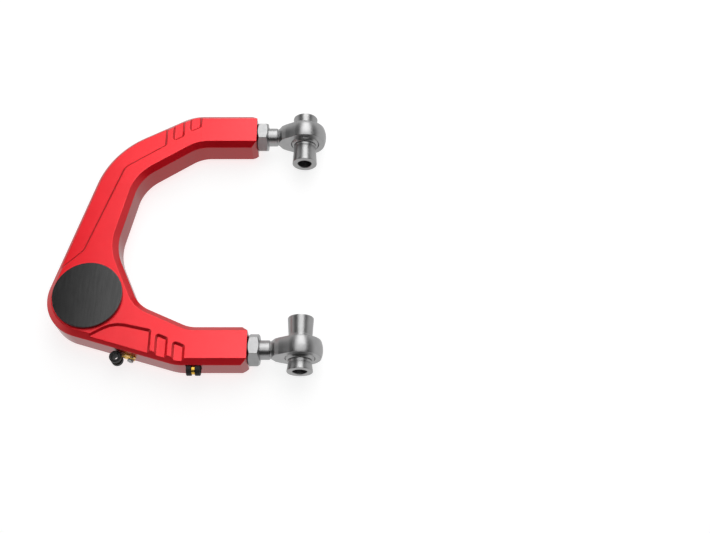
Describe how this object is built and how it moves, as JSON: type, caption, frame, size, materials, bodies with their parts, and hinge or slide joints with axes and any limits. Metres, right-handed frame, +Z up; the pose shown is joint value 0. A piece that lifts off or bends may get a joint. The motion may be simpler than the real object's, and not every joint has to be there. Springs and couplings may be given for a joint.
{
  "type": "control arm",
  "caption": "Red anodised upper control arm: curved one-piece arm with a capped spherical joint at the boss, adjustable rod ends with flanged spacers on two legs, and line clamps.",
  "frame": {"origin": "bottom centre of the bounding box; the line through both rod-end balls lies at x = 0.1128 m, z = 0.0222 m, and the point midway between the balls at y = 0.0025 m", "axes": "+X from the wheel side to the chassis, +Y along the chassis pivot line towards the rear rod end, +Z up through the boss"},
  "size_m": [0.27, 0.2896, 0.0444],
  "materials": {
    "anodised": "red anodised, satin",
    "cap": "black anodised, brushed",
    "steel": "satin, turned",
    "bearing": "polished",
    "nut": "bright zinc plated",
    "zinc": "yellow zinc-chromate look",
    "rubber": "matt black"
  },
  "bodies": {
    "arm": {"arm_body": "anodised", "uniball_race": "bearing", "uniball_snap_ring": "steel", "cap_cover": "cap", "cap_o_ring": "rubber", "outer_clamp_washer": "nut", "outer_clamp_bolt": "nut", "inner_clamp_cushion": "rubber", "inner_clamp_band": "zinc", "inner_clamp_washer": "nut", "inner_clamp_bolt": "nut"},
    "front_rod_end": {"front_rod_end_body": "steel", "front_rod_end_race": "bearing"},
    "front_jam_nut": {"front_jam_nut": "nut"},
    "front_ball": {"front_rod_end_ball": "bearing"},
    "front_spacers": {"front_outer_spacer": "steel", "front_inner_spacer": "steel"},
    "rear_rod_end": {"rear_rod_end_body": "steel", "rear_rod_end_race": "bearing"},
    "rear_jam_nut": {"rear_jam_nut": "nut"},
    "rear_ball": {"rear_rod_end_ball": "bearing"},
    "rear_spacers": {"rear_outer_spacer": "steel", "rear_inner_spacer": "steel"},
    "uniball": {"uniball_ball": "bearing"},
    "uniball_spacers": {"uniball_upper_spacer": "steel", "uniball_lower_spacer": "steel"},
    "outer_clamp": {"outer_clamp_cushion": "rubber", "outer_clamp_band": "zinc"}
  },
  "joints": [
    {"name": "front_length_adjust", "type": "slide", "parent": "arm", "child": "front_rod_end", "axis": [1, 0, 0], "range_m": [-0.005, 0.005]},
    {"name": "front_nut_turn", "type": "hinge", "parent": "arm", "child": "front_jam_nut", "pos_m": [0.06849, -0.11753, 0.02223], "axis": [1, 0, 0], "range_deg": [0, 60]},
    {"name": "front_ball_tilt", "type": "hinge", "parent": "front_rod_end", "child": "front_ball", "pos_m": [0.11279, -0.11753, 0.02223], "axis": [0, 0, 1], "range_deg": [-12, 12]},
    {"name": "front_pivot_spin", "type": "hinge", "parent": "front_ball", "child": "front_spacers", "pos_m": [0.11279, -0.11753, 0.02223], "axis": [0, 1, 0], "continuous": true},
    {"name": "rear_length_adjust", "type": "slide", "parent": "arm", "child": "rear_rod_end", "axis": [1, 0, 0], "range_m": [-0.005, 0.005]},
    {"name": "rear_nut_turn", "type": "hinge", "parent": "arm", "child": "rear_jam_nut", "pos_m": [0.06849, 0.12248, 0.02223], "axis": [1, 0, 0], "range_deg": [0, 60]},
    {"name": "rear_ball_tilt", "type": "hinge", "parent": "rear_rod_end", "child": "rear_ball", "pos_m": [0.11279, 0.12248, 0.02223], "axis": [0, 0, 1], "range_deg": [-12, 12]},
    {"name": "rear_pivot_spin", "type": "hinge", "parent": "rear_ball", "child": "rear_spacers", "pos_m": [0.11279, 0.12248, 0.02223], "axis": [0, 1, 0], "continuous": true},
    {"name": "uniball_tilt", "type": "hinge", "parent": "arm", "child": "uniball", "pos_m": [-0.09401, -0.06753, 0.01862], "axis": [0, 1, 0], "range_deg": [-18, 18]},
    {"name": "uniball_steer", "type": "hinge", "parent": "uniball", "child": "uniball_spacers", "pos_m": [-0.09401, -0.06753, 0.01862], "axis": [0, 0, 1], "continuous": true},
    {"name": "outer_clamp_aim", "type": "hinge", "parent": "arm", "child": "outer_clamp", "pos_m": [-0.05101, -0.12938, 0.02073], "axis": [-0.2807, -0.9598, 0], "range_deg": [-20, 20]}
  ]
}
